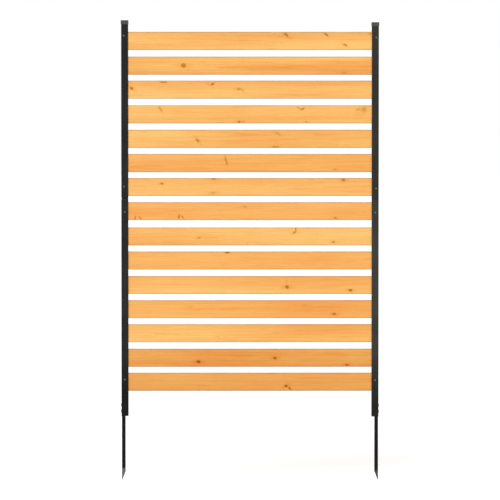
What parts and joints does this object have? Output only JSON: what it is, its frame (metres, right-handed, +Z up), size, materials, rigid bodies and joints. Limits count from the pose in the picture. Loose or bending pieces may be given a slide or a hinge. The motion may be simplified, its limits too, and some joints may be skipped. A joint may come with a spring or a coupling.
{
  "type": "slatted privacy screen",
  "caption": "Free-standing garden privacy screen with horizontal wooden slats held in two steel channel posts that stand on pointed ground stakes.",
  "frame": {"origin": "on the ground line, midway between the two posts: their feet stand on it and the stakes reach below it", "axes": "+X across the screen to its right as seen from the front, +Y from its front to its back, +Z up"},
  "size_m": [0.982, 0.0284, 1.7465],
  "materials": {
    "wood": "honey-stained softwood",
    "post_steel": "satin black powder coat",
    "sleeve_steel": "satin black powder coat",
    "stake_steel": "satin black paint, worn grey at the point",
    "cap_plastic": "moulded",
    "spacer_plastic": "moulded",
    "screw_steel": "blackened",
    "bolt_steel": "blackened",
    "nut_steel": "zinc plated"
  },
  "bodies": {
    "root": {"slat_01": "wood", "slat_02": "wood", "slat_03": "wood", "slat_04": "wood", "slat_05": "wood", "slat_06": "wood", "slat_07": "wood", "slat_08": "wood", "slat_09": "wood", "slat_10": "wood", "slat_11": "wood", "slat_12": "wood", "slat_13": "wood", "slat_14": "wood", "slat_15": "wood", "left_lower_post": "post_steel", "left_upper_post": "post_steel", "left_joint_sleeve": "sleeve_steel", "left_stake": "stake_steel", "left_post_cap": "cap_plastic", "left_spacer_01": "spacer_plastic", "left_spacer_02": "spacer_plastic", "left_spacer_03": "spacer_plastic", "left_spacer_04": "spacer_plastic", "left_spacer_05": "spacer_plastic", "left_spacer_06": "spacer_plastic", "left_spacer_07": "spacer_plastic", "left_spacer_08": "spacer_plastic", "left_spacer_09": "spacer_plastic", "left_spacer_10": "spacer_plastic", "left_spacer_11": "spacer_plastic", "left_spacer_12": "spacer_plastic", "left_spacer_13": "spacer_plastic", "left_spacer_14": "spacer_plastic", "right_lower_post": "post_steel", "right_upper_post": "post_steel", "right_joint_sleeve": "sleeve_steel", "right_stake": "stake_steel", "right_post_cap": "cap_plastic", "right_spacer_01": "spacer_plastic", "right_spacer_02": "spacer_plastic", "right_spacer_03": "spacer_plastic", "right_spacer_04": "spacer_plastic", "right_spacer_05": "spacer_plastic", "right_spacer_06": "spacer_plastic", "right_spacer_07": "spacer_plastic", "right_spacer_08": "spacer_plastic", "right_spacer_09": "spacer_plastic", "right_spacer_10": "spacer_plastic", "right_spacer_11": "spacer_plastic", "right_spacer_12": "spacer_plastic", "right_spacer_13": "spacer_plastic", "right_spacer_14": "spacer_plastic", "slat_screws": "screw_steel", "stake_bolts": "bolt_steel", "stake_nuts": "nut_steel"}
  },
  "joints": []
}
